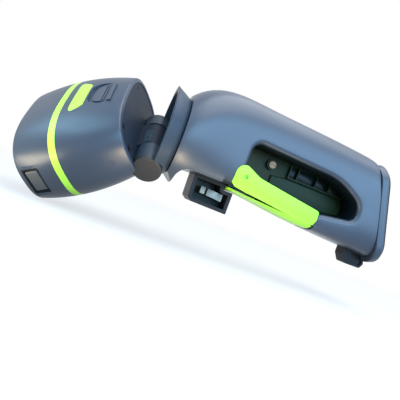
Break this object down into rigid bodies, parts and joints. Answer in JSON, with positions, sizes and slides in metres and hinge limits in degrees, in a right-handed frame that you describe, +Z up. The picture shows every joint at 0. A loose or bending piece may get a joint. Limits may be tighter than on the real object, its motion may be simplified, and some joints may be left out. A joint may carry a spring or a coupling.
{
  "type": "snow shovel power head",
  "caption": "Hand-held cordless power head with an oval tilting and swivelling motor head, a closed loop handle, a squeeze lever and a contact bracket.",
  "frame": {"origin": "centre of the bounding box at its bottom, with the neck swivelled and tilted as stored", "axes": "+X from the head towards the end plate along the handle, +Y from the near side to the far side, +Z up"},
  "size_m": [0.3524, 0.1382, 0.1505],
  "materials": {
    "shell_grey": "semi-gloss moulded",
    "band_lime": "semi-gloss moulded",
    "black_plastic": "satin moulded",
    "steel": "zinc plated",
    "dark_magnet": "coated ferrite",
    "gear_case_metal": "die cast",
    "contact_metal": "nickel plated",
    "cell_wrap": "shrink sleeve",
    "board_green": "lacquered board"
  },
  "bodies": {
    "handle": {"handle_shell_near": "shell_grey", "handle_shell_far": "shell_grey", "handle_screws": "steel", "web_screw": "steel", "end_plate": "shell_grey", "end_plate_screws": "steel", "contact_bracket": "black_plastic", "contact_block": "black_plastic", "contact_blades": "contact_metal", "hanging_foot": "black_plastic", "lever_pin": "steel", "lever_spring": "steel", "trigger_switch": "black_plastic", "battery_cells": "cell_wrap", "battery_contacts": "contact_metal", "control_board": "board_green"},
    "neck": {"swivel_disc": "shell_grey", "tilt_pin": "steel", "tilt_cap_near": "shell_grey", "tilt_cap_far": "shell_grey", "swivel_ring": "steel", "swivel_washer": "black_plastic"},
    "head": {"head_rear_shell": "shell_grey", "head_band": "band_lime", "head_front_shell": "shell_grey", "label_plate": "band_lime", "head_front_cover": "shell_grey", "front_cover_screws": "steel", "tilt_arm": "black_plastic", "arm_screws": "steel", "motor_can": "steel", "motor_magnets": "dark_magnet", "gearbox_case": "gear_case_metal", "spindle_bearing": "steel", "rotor_bearing": "steel"},
    "lever": {"squeeze_lever": "band_lime"},
    "plunger": {"switch_plunger": "black_plastic"},
    "latch": {"head_latch": "shell_grey"},
    "thumb": {"thumb_button": "shell_grey"},
    "release": {"tilt_release_button": "black_plastic"},
    "rotor": {"motor_rotor": "steel", "cooling_fan": "black_plastic"},
    "spindle": {"output_spindle": "steel"}
  },
  "joints": [
    {"name": "neck_swivel", "type": "hinge", "parent": "handle", "child": "neck", "pos_m": [-0.05964, -0.02708, 0.09361], "axis": [1, 0, 0], "range_deg": [-130.8, 49.2]},
    {"name": "head_tilt", "type": "hinge", "parent": "neck", "child": "head", "pos_m": [-0.06194, -0.01689, 0.0818], "axis": [0, -0.757, -0.6534], "range_deg": [-38, 0]},
    {"name": "lever_squeeze", "type": "hinge", "parent": "handle", "child": "lever", "pos_m": [0.02066, -0.02708, 0.08061], "axis": [0, -1, 0], "range_deg": [0, 4], "stiffness_Nm_per_rad": 3, "springref_deg": -5.73, "deforming": ["lever_spring"]},
    {"name": "switch_press", "type": "slide", "parent": "handle", "child": "plunger", "axis": [0, 0, 1], "range_m": [0, 0.0019]},
    {"name": "latch_press", "type": "slide", "parent": "head", "child": "latch", "axis": [0, 0.757, 0.6534], "range_m": [0, 0.0015], "stiffness_N_per_m": 600, "springref_m": -0.002},
    {"name": "thumb_press", "type": "slide", "parent": "head", "child": "thumb", "axis": [0.6157, 0.5149, -0.5965], "range_m": [0, 0.0012], "stiffness_N_per_m": 600, "springref_m": -0.002},
    {"name": "release_press", "type": "slide", "parent": "head", "child": "release", "axis": [0.6157, 0.5149, -0.5965], "range_m": [0, 0.0014], "stiffness_N_per_m": 600, "springref_m": -0.002},
    {"name": "rotor_spin", "type": "hinge", "parent": "head", "child": "rotor", "pos_m": [-0.11124, -0.00248, 0.07353], "axis": [-0.788, 0.4023, -0.4661], "continuous": true},
    {"name": "spindle_spin", "type": "hinge", "parent": "head", "child": "spindle", "pos_m": [-0.14276, 0.01361, 0.05489], "axis": [-0.788, 0.4023, -0.4661], "continuous": true}
  ],
  "couplings": [
    {"joint": "switch_press", "follows": "lever_squeeze", "m_per_rad": 0.0267},
    {"joint": "spindle_spin", "follows": "rotor_spin", "ratio": 0.083333}
  ]
}
